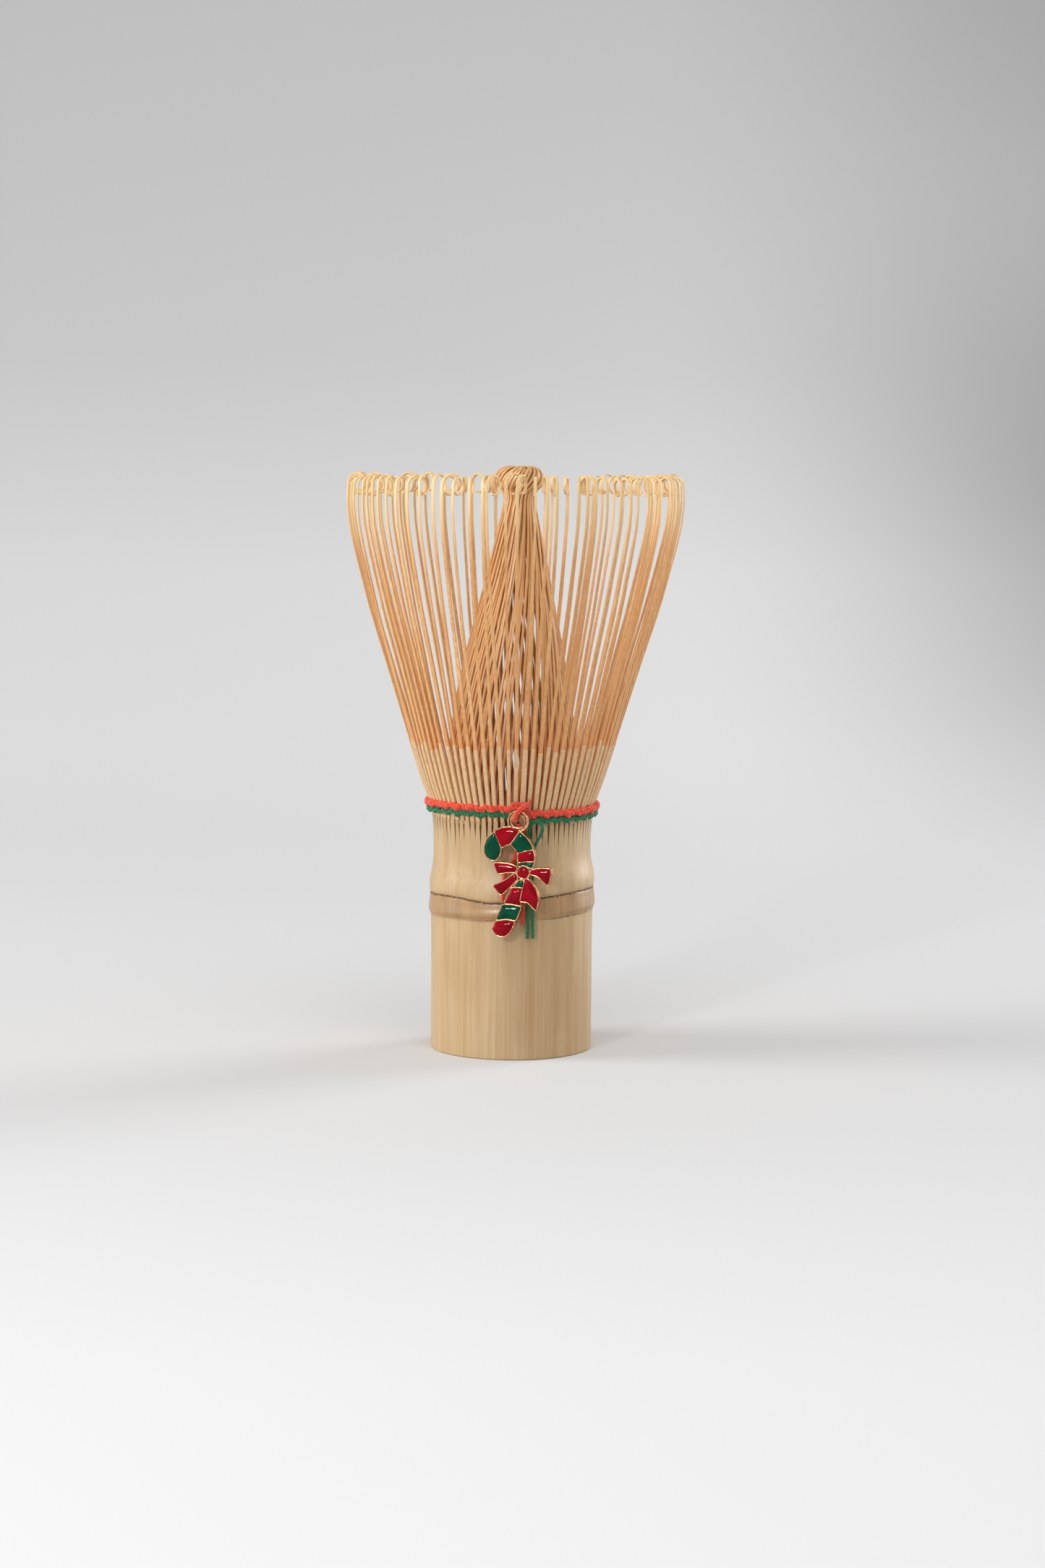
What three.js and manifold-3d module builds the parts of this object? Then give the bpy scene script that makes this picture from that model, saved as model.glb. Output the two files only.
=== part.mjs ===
// A bamboo tea whisk: a cut culm with a node, split above into flared outer tines and a gathered inner cone,
// with thread bands round the tine roots and an enamelled candy-cane charm that hangs from the upper band.
// Millimetres, +Z up. The origin is the centre of the base, and the front, where the charm hangs, faces -Y.
import * as THREE from "three";
import { mergeVertices } from "three/addons/utils/BufferGeometryUtils.js";
import Module from "manifold-3d";

const wasm = await Module();
wasm.setup();

// ---------------------------------------------------------------------------------------------- dimensions
const SECTIONS = 16;
const TINES_PER_SECTION = 5;
const SECTION_ANGLE = (2 * Math.PI) / SECTIONS;
const TINE_ANGLE = SECTION_ANGLE / TINES_PER_SECTION;
const FRONT = -Math.PI / 2;
const GAP = 0.3;

const BASE_RADIUS = 15.2;
const NODE_RIDGE_RADIUS = 15.66;
const NODE_RIDGE_HEIGHT = 27.3;
const NODE_TILT = THREE.MathUtils.degToRad(2.2);
const NECK_RADIUS = 14.83;
const HANDLE_TOP = 43;
const HOLLOW_RADIUS = 11.2;
const SEPTUM_BOTTOM = 25.2;
const SEPTUM_TOP = 28;
const HANDLE_SIDES = 40;

const ROOT_BOTTOM = HANDLE_TOP + GAP;
const ROOT_TOP = 46.6;
const ROOT_RADIUS = 15.2;
const WALL_SPLIT_RADIUS = 13.2;
const TINE_TOP = 108.7;
const CROWN_TOP = 110;

const RED_BAND = { radius: 16, startZ: 45.9, rise: 1.2, thick: 1.0 };
const GREEN_BAND = { radius: 15.75, startZ: 44.6, rise: 1.2, thick: 0.76 };
const BAND_GAP_FROM = THREE.MathUtils.degToRad(-1.5);
const BAND_GAP_TO = THREE.MathUtils.degToRad(12.5);
const BAND_STEPS = 42;
const BAND_SIDES = 6;

const THREAD_THICK = 0.6;
const THREAD_SIDES = 8;
const LOOP_THICK = 0.7;

const EYELET_CENTRE = new THREE.Vector3(1.46, -17.15, 45);
const CHARM_YAW = THREE.MathUtils.degToRad(-13);
const CHARM_THICK = 1.6;
const RIM = 0.32;
const CELL_CLEARANCE = 0.08;
const CELL_DEPTH = 0.5;
const EYELET_RADIUS = 2;
const EYELET_HOLE_RADIUS = 1.1;

// ---------------------------------------------------------------------------------------------- materials
const paint = (color, roughness, metalness = 0) => new THREE.MeshStandardMaterial({ color, roughness, metalness });
const bamboo = paint(0xcbb08a, 0.45);
const tineBamboo = paint(0xddb07a, 0.5);
const redCotton = paint(0xe8502f, 0.9);
const greenCotton = paint(0x15784a, 0.9);
const roseGold = paint(0xe0b48a, 0.3, 1);
const redEnamel = paint(0xa4001c, 0.12);
const greenEnamel = paint(0x005037, 0.12);

const whisk = new THREE.Group();

// ---------------------------------------------------------------------------------------------- solids
function solidOf(geometry) {
  const bare = geometry.clone();
  bare.deleteAttribute("normal");
  bare.deleteAttribute("uv");
  const merged = mergeVertices(bare, 1e-4);
  return new wasm.Manifold(
    new wasm.Mesh({
      numProp: 3,
      vertProperties: new Float32Array(merged.attributes.position.array),
      triVerts: new Uint32Array(merged.index.array),
    }),
  );
}

function geometryOf(solid) {
  const mesh = solid.getMesh();
  const geometry = new THREE.BufferGeometry();
  geometry.setAttribute("position", new THREE.BufferAttribute(new Float32Array(mesh.vertProperties), 3));
  geometry.setIndex(new THREE.BufferAttribute(new Uint32Array(mesh.triVerts), 1));
  geometry.computeVertexNormals();
  return geometry;
}

const join = (geometries) => geometries.map(solidOf).reduce((all, next) => all.add(next));

function place(name, geometry, material, parent = whisk) {
  const mesh = new THREE.Mesh(geometry, material);
  mesh.name = name;
  parent.add(mesh);
  return mesh;
}

function plate(outline, depth) {
  return new THREE.ExtrudeGeometry(new THREE.Shape(outline), { depth, bevelEnabled: false });
}

// ---------------------------------------------------------------------------------------------- handle
// The culm is a lathe form. Its profile starts on the axis under the septum and ends on the axis above it.
// The node's ridge and scar lie on a slant, so the rows near the node rise towards +X.
function handle() {
  const edge = 0.25;
  const fillet = 1;
  const scar = { radius: NODE_RIDGE_RADIUS - 0.26, z: NODE_RIDGE_HEIGHT + 1.6 };
  const bulge = { radius: NODE_RIDGE_RADIUS - 0.13, z: NODE_RIDGE_HEIGHT + 3.4 };
  const profile = [
    [0, SEPTUM_BOTTOM],
    [HOLLOW_RADIUS - fillet, SEPTUM_BOTTOM],
    [HOLLOW_RADIUS, SEPTUM_BOTTOM - fillet],
    [HOLLOW_RADIUS, 0],
    [BASE_RADIUS - edge, 0],
    [BASE_RADIUS, edge],
    [BASE_RADIUS + 0.05, NODE_RIDGE_HEIGHT - 2.6],
    [NODE_RIDGE_RADIUS, NODE_RIDGE_HEIGHT],
    [scar.radius, scar.z],
    [bulge.radius, bulge.z],
    [BASE_RADIUS, bulge.z + 2.8],
    [NECK_RADIUS, bulge.z + 6.3],
    [NECK_RADIUS + 0.17, HANDLE_TOP],
    [HOLLOW_RADIUS, HANDLE_TOP],
    [HOLLOW_RADIUS, SEPTUM_TOP + fillet],
    [HOLLOW_RADIUS - fillet, SEPTUM_TOP],
    [0, SEPTUM_TOP],
  ];
  const geometry = new THREE.LatheGeometry(
    profile.map(([r, z]) => new THREE.Vector2(r, z)),
    HANDLE_SIDES,
  );
  geometry.rotateX(Math.PI / 2);
  const at = geometry.attributes.position;
  const slantReach = 9;
  for (let i = 0; i < at.count; i += 1) {
    const outside = Math.hypot(at.getX(i), at.getY(i)) > HOLLOW_RADIUS + 1;
    const nearNode = Math.max(0, 1 - Math.abs(at.getZ(i) - scar.z) / slantReach);
    if (outside) at.setZ(i, at.getZ(i) + at.getX(i) * Math.tan(NODE_TILT) * Math.min(1, 2 * nearNode));
  }
  return geometry;
}

// ---------------------------------------------------------------------------------------------- tines
// A tine is the outline of its side view, widened across, and then turned about the axis. Stations run along it
// as [radius, height, thickness]. width and turn are functions of a point's radius and height.
function tine(stations, width, turn) {
  const faces = { out: [], in: [] };
  stations.forEach(([r, z, thick], i) => {
    const before = stations[Math.max(i - 1, 0)];
    const after = stations[Math.min(i + 1, stations.length - 1)];
    const along = new THREE.Vector2(after[0] - before[0], after[1] - before[1]).normalize();
    const across = new THREE.Vector2(along.y, -along.x).multiplyScalar(thick / 2);
    faces.out.push(new THREE.Vector2(r, z).add(across));
    faces.in.unshift(new THREE.Vector2(r, z).sub(across));
  });
  const geometry = plate([...faces.out, ...faces.in], 1);
  geometry.translate(0, 0, -0.5);
  geometry.rotateX(Math.PI / 2);
  const at = geometry.attributes.position;
  for (let i = 0; i < at.count; i += 1) {
    const r = at.getX(i);
    const z = at.getZ(i);
    const side = at.getY(i) * width(r, z);
    const angle = turn(r, z);
    at.setXY(i, r * Math.cos(angle) - side * Math.sin(angle), r * Math.sin(angle) + side * Math.cos(angle));
  }
  return geometry;
}

// The block of wall that a comb's tines grow from: a sector of a ring, a little narrower than its section.
function rootBlock(innerRadius, outerRadius, angle) {
  const half = SECTION_ANGLE / 2 - GAP / 2 / innerRadius;
  const shape = new THREE.Shape();
  shape.absarc(0, 0, outerRadius, angle - half, angle + half, false);
  shape.absarc(0, 0, innerRadius, angle + half, angle - half, true);
  shape.closePath();
  const geometry = new THREE.ExtrudeGeometry(shape, {
    depth: ROOT_TOP - ROOT_BOTTOM,
    bevelEnabled: false,
    curveSegments: 3,
  });
  geometry.translate(0, 0, ROOT_BOTTOM);
  return geometry;
}

const between = (low, high, value) => THREE.MathUtils.clamp((value - low) / (high - low), 0, 1);

// Outer tines: pulled in at the bands, straight up the flare, and hooked inward at the tip.
const HOOK = { r: 29.55, z: TINE_TOP - 1.95, halfWidth: 1.45, halfHeight: 1.75 };
const OUTER_STATIONS = [
  [14.62, ROOT_TOP - 0.4, 0.7],
  [14.82, 47.6, 0.76],
  [16.35, 49.5, 0.76],
  [24.9, 77, 0.5],
  [29.95, 95.5, 0.44],
];
for (const degrees of [8, 85, 165, 235]) {
  const angle = THREE.MathUtils.degToRad(degrees);
  OUTER_STATIONS.push([HOOK.r + HOOK.halfWidth * Math.cos(angle), HOOK.z + HOOK.halfHeight * Math.sin(angle), 0.4]);
}
const outerWidth = (r, z) => THREE.MathUtils.lerp(0.8, 0.58, between(ROOT_TOP, 100, z));

// Inner tines: a comb's five run side by side and close up into one strand, which curls over into the crown.
// The whole cone is turned a little about the axis on its way up.
const STRAND_START = 84;
const INNER_STATIONS = [
  [12.4, ROOT_TOP - 0.4, 0.8],
  [10.6, 68, 0.55],
  [7.1, STRAND_START + 0.9, 0.4],
];
const STRAND_STATIONS = [
  [7.3, STRAND_START, 0.62],
  [3.4, 101.5, 0.5],
  [2.55, 104.4, 0.45],
  [3.85, 106.1, 0.45],
  [4.25, 107.9, 0.45],
  [3.3, CROWN_TOP - 0.6, 0.45],
  [2.15, CROWN_TOP - 0.35, 0.45],
];
const CONE_TWIST = THREE.MathUtils.degToRad(18);
const coneTwist = (z) => CONE_TWIST * between(ROOT_TOP, 104, z);
const innerWidth = (r, z) => THREE.MathUtils.lerp(0.56, 0.42, between(ROOT_TOP, STRAND_START, z));
const strandWidth = (r) => r * SECTION_ANGLE - GAP - 0.1;

function combs() {
  for (let section = 0; section < SECTIONS; section += 1) {
    const middle = FRONT + (section + 0.5) * SECTION_ANGLE;
    const number = String(section + 1).padStart(2, "0");
    const outer = [rootBlock(WALL_SPLIT_RADIUS + GAP, ROOT_RADIUS, middle)];
    const inner = [rootBlock(HOLLOW_RADIUS + 0.2, WALL_SPLIT_RADIUS, middle)];
    for (let i = 0; i < TINES_PER_SECTION; i += 1) {
      const aside = (i - (TINES_PER_SECTION - 1) / 2) * TINE_ANGLE;
      outer.push(tine(OUTER_STATIONS, outerWidth, () => middle + aside));
      const closeUp = (z) => THREE.MathUtils.lerp(1, 0.72, between(ROOT_TOP, STRAND_START, z));
      inner.push(tine(INNER_STATIONS, innerWidth, (r, z) => middle + aside * closeUp(z) + coneTwist(z)));
    }
    inner.push(tine(STRAND_STATIONS, strandWidth, (r, z) => middle + coneTwist(z)));
    place(`outer_tines_${number}`, geometryOf(join(outer)), tineBamboo);
    place(`inner_tines_${number}`, geometryOf(join(inner)), tineBamboo);
  }
}

// ---------------------------------------------------------------------------------------------- threads
function tube(points, thick, sides, steps) {
  const section = new THREE.Shape();
  for (let i = 0; i < sides; i += 1) {
    const angle = (2 * Math.PI * i) / sides;
    const corner = [(thick / 2) * Math.cos(angle), (thick / 2) * Math.sin(angle)];
    if (i === 0) section.moveTo(...corner);
    else section.lineTo(...corner);
  }
  section.closePath();
  const extrudePath = new THREE.CatmullRomCurve3(points, false, "centripetal");
  return new THREE.ExtrudeGeometry(section, { steps, extrudePath, bevelEnabled: false });
}

// A band is one turn of a flat helix round the tine roots. It is open behind the charm's eyelet.
function band({ radius, startZ, rise, thick }) {
  const points = [];
  const sweep = 2 * Math.PI - (BAND_GAP_TO - BAND_GAP_FROM);
  for (let i = 0; i <= BAND_STEPS; i += 1) {
    const share = i / BAND_STEPS;
    const angle = FRONT + BAND_GAP_TO + sweep * share;
    points.push(new THREE.Vector3(radius * Math.cos(angle), radius * Math.sin(angle), startZ + rise * share));
  }
  return tube(points, thick, BAND_SIDES, BAND_STEPS);
}

// The clump where the red thread is tied off, at the front on the upper end of its band.
function clump() {
  const geometry = new THREE.SphereGeometry(1, 10, 6);
  geometry.scale(1.9, 0.46, 0.62);
  geometry.translate(1.35, -16.38, 47.2);
  return geometry;
}

const vector = ([x, y, z]) => new THREE.Vector3(x, y, z);

// A place near the charm, given across and up in its plane and out from its back face.
function nearCharm(across, up, out) {
  const offset = new THREE.Vector3(across, -out, up).applyAxisAngle(new THREE.Vector3(0, 0, 1), CHARM_YAW);
  return offset.add(EYELET_CENTRE);
}

// The loop leaves the band under the clump, comes down over the front of the eyelet and goes back through it.
const LOOP_TOP = [2.9, -17.65, 47.9];
const HANG = { across: -0.5, up: 0.3 };
const RED_LOOP_ROUTE = [
  vector(LOOP_TOP),
  nearCharm(1.45, 3, 1.3),
  nearCharm(0.8, 2.6, 2.3),
  nearCharm(0.15, 1.8, 2.6),
  nearCharm(-0.3, 1, 2.65),
  nearCharm(HANG.across, HANG.up + 0.12, 2.35),
  nearCharm(HANG.across, HANG.up, 1.7),
  nearCharm(HANG.across, HANG.up, 1.1),
  nearCharm(HANG.across, HANG.up, 0.4),
  nearCharm(HANG.across, HANG.up, -0.4),
];

// Each pair of tails is one run of thread that turns round behind the charm, where it is tied in.
const RED_TAILS_ROUTE = [
  [-1.6, -15.88, 30],
  [-1.55, -15.9, 32.4],
  [-1.2, -15.8, 34.8],
  [-0.3, -15.7, 36.5],
  [0.6, -15.65, 37.9],
  [0.8, -15.6, 39.3],
  [0.45, -15.6, 40.6],
  [0.1, -15.65, 41.6],
  [-0.05, -15.7, 42.6],
  [0.32, -15.75, 43.48],
  [1.2, -15.8, 43.85],
  [2.08, -15.8, 43.48],
  [2.45, -15.75, 42.6],
  [2.35, -15.7, 40.5],
  [2.1, -15.75, 37.5],
  [2.1, -15.9, 34],
  [2.25, -16.05, 31],
  [2.2, -16.1, 28],
  [2, -16.05, 25.4],
].map(vector);

const GREEN_TAILS_ROUTE = [
  [2.95, -15.8, 23],
  [3, -15.95, 27],
  [3, -15.95, 31],
  [2.95, -15.85, 35],
  [2.95, -15.8, 39],
  [3.05, -15.95, 41.5],
  [3.25, -16.15, 43.5],
  [3.6, -16.3, 44.35],
  [4.45, -16.35, 44.7],
  [5.3, -16.3, 44.35],
  [5.65, -16.2, 43.5],
  [5.3, -16.05, 42.2],
  [4.6, -15.9, 40.9],
  [4.1, -15.8, 39.4],
  [3.95, -15.75, 37],
  [3.9, -15.8, 33],
  [3.95, -15.85, 29],
  [3.95, -15.85, 26],
  [4, -15.8, 23],
].map(vector);

// ---------------------------------------------------------------------------------------------- charm
// Each enamel cell is an outline in the charm's own plane: across to the right and up, from the eyelet's centre.
const RED = redEnamel;
const GREEN = greenEnamel;
const CELLS = [
  {
    name: "enamel_hook_end",
    paint: GREEN,
    outline: [[-4.5, -2.4], [-5.5, -3.3], [-6.15, -4.6], [-6.1, -5.9], [-5.5, -6.9], [-4.6, -7.25],
      [-3.7, -6.8], [-3.25, -5.4], [-3.75, -4]],
  },
  {
    name: "enamel_hook_top",
    paint: RED,
    outline: [[-4.2, -2.1], [-3.4, -1.6], [-2.4, -1.32], [-1.2, -1.32], [-0.2, -1.65], [0.05, -1.85],
      [-0.7, -2.9], [-1.5, -4.1], [-2.3, -4.25], [-2.95, -4.75], [-3.4, -4]],
  },
  {
    name: "enamel_hook_shoulder",
    paint: GREEN,
    outline: [[0.4, -2.15], [1.5, -3.05], [2.3, -4.1], [2.65, -5], [1.3, -5.25], [0.1, -5.7],
      [-0.4, -4.9], [-1.15, -4.25], [-0.35, -3.2]],
  },
  {
    name: "enamel_hook_side",
    paint: RED,
    outline: [[0.15, -6.1], [1.5, -5.6], [2.75, -5.4], [2.97, -6.3], [2.97, -7.2], [1.5, -7.2], [0.2, -7.4]],
  },
  {
    name: "enamel_collar",
    paint: GREEN,
    outline: [[0.15, -7.8], [1.5, -7.6], [2.92, -7.6], [2.6, -8.45], [2.1, -8.25], [1.5, -7.98], [0.8, -7.9],
      [0.35, -8.2]],
  },
  {
    name: "enamel_bow_loop_left",
    paint: RED,
    outline: [[-4.3, -8], [-2.6, -7.95], [-1.2, -8.15], [-0.3, -8.5], [-0.45, -9.25], [-2, -9.3], [-3.65, -9.6]],
  },
  {
    name: "enamel_bow_loop_right",
    paint: RED,
    outline: [[2.5, -9.2], [3.4, -8.85], [4.6, -8.65], [6, -8.75], [6.05, -9.9], [5.65, -11.45],
      [5.1, -11], [4.4, -10.3], [3.5, -9.7], [2.5, -9.6]],
  },
  {
    name: "enamel_bow_tail_left",
    paint: RED,
    outline: [[-0.45, -9.75], [-2.2, -11.1], [-4.4, -12.1], [-3.1, -13.5], [-1.6, -12.2], [-0.15, -10.6]],
  },
  {
    name: "enamel_bow_tail_right",
    paint: RED,
    outline: [[1.45, -10.85], [1.85, -10.7], [2.9, -11.8], [3.6, -13.2], [3.75, -14.6], [3.45, -16.1],
      [2.8, -15.5], [1.9, -14.6], [0.65, -14.65], [1.1, -12.7]],
  },
  {
    name: "enamel_shaft_upper",
    paint: GREEN,
    outline: [[0.4, -10.95], [1, -11.05], [0.9, -12.05], [-0.45, -12]],
  },
  {
    name: "enamel_shaft_middle",
    paint: RED,
    outline: [[-1, -12.45], [0.7, -12.45], [0.2, -14.6], [0.55, -15.45], [-0.9, -15.1], [-2.3, -15.15]],
  },
  {
    name: "enamel_shaft_lower",
    paint: GREEN,
    outline: [[-2.75, -15.65], [-0.9, -15.6], [0.5, -15.95], [-0.4, -18.15], [-2, -17.95], [-3.8, -18.2]],
  },
  {
    name: "enamel_shaft_tip",
    paint: RED,
    outline: [[-4, -18.75], [-2.2, -18.45], [-0.65, -18.65], [-1.3, -20.1], [-2, -21], [-3, -21.3], [-4, -20.9],
      [-4.55, -20]],
  },
];
const KNOT = { across: 1.05, up: -9.4, radius: 0.95, sides: 16 };

// Moves each corner of an outline outward along its mitre, which is cut short on a sharp corner.
function grow(outline, distance) {
  const longestMitre = 1.5;
  const turn = Math.sign(THREE.ShapeUtils.area(outline.map(([x, y]) => new THREE.Vector2(x, y))));
  return outline.map(([x, y], i) => {
    const corner = new THREE.Vector2(x, y);
    const before = new THREE.Vector2(...outline.at(i - 1));
    const after = new THREE.Vector2(...outline[(i + 1) % outline.length]);
    const arriving = corner.clone().sub(before).normalize();
    const leaving = after.clone().sub(corner).normalize();
    const normal = new THREE.Vector2(arriving.y + leaving.y, -arriving.x - leaving.x).normalize();
    const reach = Math.min(longestMitre, 1 / normal.dot(new THREE.Vector2(arriving.y, -arriving.x)));
    return corner.addScaledVector(normal, turn * distance * reach);
  });
}

const outlinePlate = (outline, distance, from, to) => plate(grow(outline, distance), to - from).translate(0, 0, from);

function disc(across, up, radius, sides, from, to) {
  const geometry = new THREE.CylinderGeometry(radius, radius, to - from, sides);
  geometry.rotateX(Math.PI / 2);
  return geometry.translate(across, up, (from + to) / 2);
}

function charm() {
  const floor = CHARM_THICK - CELL_DEPTH;
  const hung = new THREE.Group();
  hung.position.copy(EYELET_CENTRE);
  hung.rotation.z = CHARM_YAW;
  const facing = new THREE.Group();
  facing.rotation.x = Math.PI / 2;
  hung.add(facing);
  whisk.add(hung);

  const bodies = CELLS.map((cell) => outlinePlate(cell.outline, RIM, 0, CHARM_THICK));
  bodies.push(disc(KNOT.across, KNOT.up, KNOT.radius + RIM, KNOT.sides, 0, CHARM_THICK));
  bodies.push(disc(0, 0, EYELET_RADIUS, 24, 0, CHARM_THICK));
  const recesses = CELLS.map((cell) => outlinePlate(cell.outline, CELL_CLEARANCE, floor, CHARM_THICK + 1));
  recesses.push(disc(KNOT.across, KNOT.up, KNOT.radius + CELL_CLEARANCE, KNOT.sides, floor, CHARM_THICK + 1));
  recesses.push(disc(0, 0, EYELET_HOLE_RADIUS, 20, -1, CHARM_THICK + 1));
  const casting = join(bodies).subtract(join(recesses));
  place("charm_casting", geometryOf(casting), roseGold, facing);

  const fillFrom = floor + CELL_CLEARANCE;
  for (const cell of CELLS) {
    place(cell.name, outlinePlate(cell.outline, 0, fillFrom, CHARM_THICK), cell.paint, facing);
  }
  const knotFill = disc(KNOT.across, KNOT.up, KNOT.radius, KNOT.sides, fillFrom, CHARM_THICK);
  place("enamel_bow_knot", knotFill, RED, facing);
}

// ---------------------------------------------------------------------------------------------- assembly
place("handle", handle(), bamboo);
combs();
place("red_thread_band", geometryOf(join([band(RED_BAND), clump()])), redCotton);
place("green_thread_band", band(GREEN_BAND), greenCotton);
place("red_hang_loop", tube(RED_LOOP_ROUTE, LOOP_THICK, THREAD_SIDES, 12), redCotton);
place("red_thread_tails", tube(RED_TAILS_ROUTE, THREAD_THICK, THREAD_SIDES, 26), redCotton);
place("green_thread_tails", tube(GREEN_TAILS_ROUTE, THREAD_THICK, THREAD_SIDES, 32), greenCotton);
charm();

export default whisk;
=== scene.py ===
"""The looks of the bamboo tea whisk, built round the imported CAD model.

Shapes are made in millimetres and stored in metres.
"""
import math
import random

import bpy
import numpy as np
from mathutils import Matrix, Vector
from mathutils.geometry import delaunay_2d_cdt


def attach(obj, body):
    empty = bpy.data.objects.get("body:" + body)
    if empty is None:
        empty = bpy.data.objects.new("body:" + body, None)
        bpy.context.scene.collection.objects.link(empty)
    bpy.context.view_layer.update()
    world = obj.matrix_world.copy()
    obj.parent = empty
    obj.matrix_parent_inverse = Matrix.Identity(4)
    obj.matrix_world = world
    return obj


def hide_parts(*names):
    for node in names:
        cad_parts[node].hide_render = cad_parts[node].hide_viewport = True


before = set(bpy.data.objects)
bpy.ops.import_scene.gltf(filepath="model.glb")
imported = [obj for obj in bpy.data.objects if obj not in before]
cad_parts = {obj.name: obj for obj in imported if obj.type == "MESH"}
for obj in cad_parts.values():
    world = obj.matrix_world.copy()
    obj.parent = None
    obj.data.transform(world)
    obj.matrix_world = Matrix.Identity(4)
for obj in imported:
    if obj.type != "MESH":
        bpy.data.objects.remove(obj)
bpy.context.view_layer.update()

MM = 0.001
FRONT = -math.pi / 2
SECTIONS = 16
TINES_PER_SECTION = 5
TINES = SECTIONS * TINES_PER_SECTION
TINE_ANGLE = 2 * math.pi / TINES
BODY = "whisk"
rng = random.Random(7)


# ------------------------------------------------------------ camera
CAMERA_DISTANCE = 580
CAMERA_HEIGHT = 109
CAMERA_SIDE = 1.9
CAMERA_PITCH = math.radians(-5.81)
CAMERA_ROLL = math.radians(0.38)
LENS = 71.0


def make_camera():
    data = bpy.data.cameras.new("camera")
    data.sensor_fit = "VERTICAL"
    data.sensor_height = 36
    data.lens = LENS
    data.clip_start = 0.01
    camera = bpy.data.objects.new("camera", data)
    bpy.context.scene.collection.objects.link(camera)
    place = Vector((CAMERA_SIDE, -CAMERA_DISTANCE, CAMERA_HEIGHT)) * MM
    turn = Matrix.Rotation(math.pi / 2 + CAMERA_PITCH, 4, "X") @ Matrix.Rotation(CAMERA_ROLL, 4, "Z")
    camera.matrix_world = Matrix.Translation(place) @ turn
    bpy.context.scene.camera = camera


# ------------------------------------------------------------ shape tools
def smooth_curve(knots):
    """A smooth curve through (place, value) knots, as a function of the place."""
    xs, ys = np.array(knots, float).T
    slopes = np.gradient(ys, xs)

    def value(x):
        x = np.clip(x, xs[0], xs[-1])
        i = np.clip(np.searchsorted(xs, x, side="right") - 1, 0, len(xs) - 2)
        step = xs[i + 1] - xs[i]
        t = (x - xs[i]) / step
        here = (1 + 2 * t) * (1 - t) ** 2 * ys[i] + t * (1 - t) ** 2 * step * slopes[i]
        there = t * t * (3 - 2 * t) * ys[i + 1] + t * t * (t - 1) * step * slopes[i + 1]
        return here + there

    return value


def ease(low, high, value):
    """0 at low, 1 at high, smooth between."""
    t = np.clip((np.asarray(value, float) - low) / (high - low), 0, 1)
    return t * t * (3 - 2 * t)


def unit(vectors):
    return vectors / np.maximum(np.linalg.norm(vectors, axis=-1, keepdims=True), 1e-9)


CURVE_STEPS = 24


def resample(points, spacing):
    """A Catmull-Rom curve through the points, cut into even steps."""
    points = np.array(points, float)
    ends = np.vstack([2 * points[0] - points[1], points, 2 * points[-1] - points[-2]])
    fine = []
    for i in range(len(points) - 1):
        a, b, c, d = ends[i:i + 4]
        for t in np.linspace(0, 1, CURVE_STEPS, endpoint=False):
            curve = 2 * b + (c - a) * t + (2 * a - 5 * b + 4 * c - d) * t**2 + (3 * b - a - 3 * c + d) * t**3
            fine.append(0.5 * curve)
    fine = np.array(fine + [points[-1]])
    along = np.concatenate([[0], np.cumsum(np.linalg.norm(np.diff(fine, axis=0), axis=1))])
    places = np.linspace(0, along[-1], max(2, int(round(along[-1] / spacing)) + 1))
    return np.column_stack([np.interp(places, along, fine[:, k]) for k in range(3)])


def carried_frames(path):
    """Two directions across a path that turn as little as they can along it."""
    along = unit(np.gradient(path, axis=0))
    first = np.cross(along[0], (0, 0, 1)) if abs(along[0][2]) < 0.9 else np.cross(along[0], (0, 1, 0))
    sides = [unit(first)]
    for tangent in along[1:]:
        side = sides[-1] - tangent * np.dot(sides[-1], tangent)
        sides.append(unit(side))
    sides = np.array(sides)
    return sides, np.cross(along, sides)


class Shape:
    """Collects closed bars and tubes, with one mark (red, green, blue) a vertex for the materials to read."""

    def __init__(self):
        self.verts = []
        self.faces = []
        self.marks = []
        self.count = 0

    def add(self, verts, faces, marks=(0, 0, 0)):
        verts = np.asarray(verts, float)
        marks = np.broadcast_to(np.asarray(marks, float), (len(verts), 3))
        self.faces += [[i + self.count for i in face] for face in faces]
        self.verts.append(verts)
        self.marks.append(marks)
        self.count += len(verts)

    def rings(self, rings, marks=(0, 0, 0)):
        """Skins a row of rings of equal size and closes both ends."""
        rings = np.asarray(rings, float)
        rows, sides = rings.shape[:2]
        faces = []
        for row in range(rows - 1):
            for i in range(sides):
                j = (i + 1) % sides
                a, b = row * sides, (row + 1) * sides
                faces.append((a + i, a + j, b + j, b + i))
        faces.append(tuple(reversed(range(sides))))
        faces.append(tuple(range((rows - 1) * sides, rows * sides)))
        marks = np.asarray(marks, float)
        if marks.ndim == 3:
            marks = marks.reshape(-1, 3)
        elif marks.ndim == 2:
            marks = np.repeat(marks, sides, axis=0)
        self.add(rings.reshape(-1, 3), faces, marks)

    def tube(self, path, radius, sides=8, marks=(0, 0, 0)):
        path = np.asarray(path, float)
        right, up = carried_frames(path)
        radius = np.broadcast_to(np.asarray(radius, float), (len(path),))
        turns = 2 * np.pi * np.arange(sides) / sides
        cos, sin = np.cos(turns)[None, :, None], np.sin(turns)[None, :, None]
        ring = cos * right[:, None, :] + sin * up[:, None, :]
        self.rings(path[:, None, :] + ring * radius[:, None, None], marks)

    def to_object(self, name, material, sharp=None):
        mesh = bpy.data.meshes.new(name)
        mesh.from_pydata((np.vstack(self.verts) * MM).tolist(), [], self.faces)
        mark = mesh.color_attributes.new("mark", "FLOAT_COLOR", "POINT")
        colours = np.ones((self.count, 4))
        colours[:, :3] = np.vstack(self.marks)
        mark.data.foreach_set("color", colours.ravel())
        return finish_object(name, mesh, material, sharp)


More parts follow.
